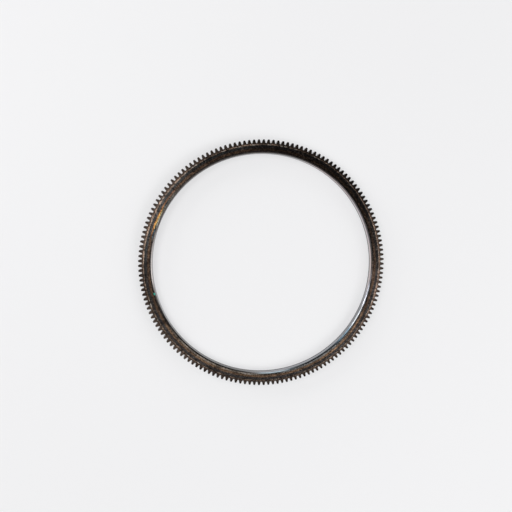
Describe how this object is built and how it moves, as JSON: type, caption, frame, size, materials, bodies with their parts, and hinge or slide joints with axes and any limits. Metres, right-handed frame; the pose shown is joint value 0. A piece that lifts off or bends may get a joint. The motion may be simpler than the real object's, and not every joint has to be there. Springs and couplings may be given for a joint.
{
  "type": "flywheel ring gear",
  "caption": "Steel starter ring gear for an engine flywheel: a thin flat ring with external spur teeth, a conical shoulder below the teeth and a chamfered shrink-fit bore.",
  "frame": {"origin": "centre of the bore, on the plane of the flat back face that the ring lies on", "axes": "+Z along the bore axis, out of the chamfered and stepped front face; +X through the middle of one tooth; +Y completes the right-handed frame"},
  "size_m": [0.3428, 0.3428, 0.012],
  "materials": {
    "steel": "turned steel with dark hardened teeth, brown and blue-black heat tint and an oily sheen"
  },
  "bodies": {
    "root": {"ring_gear": "steel"}
  },
  "joints": []
}
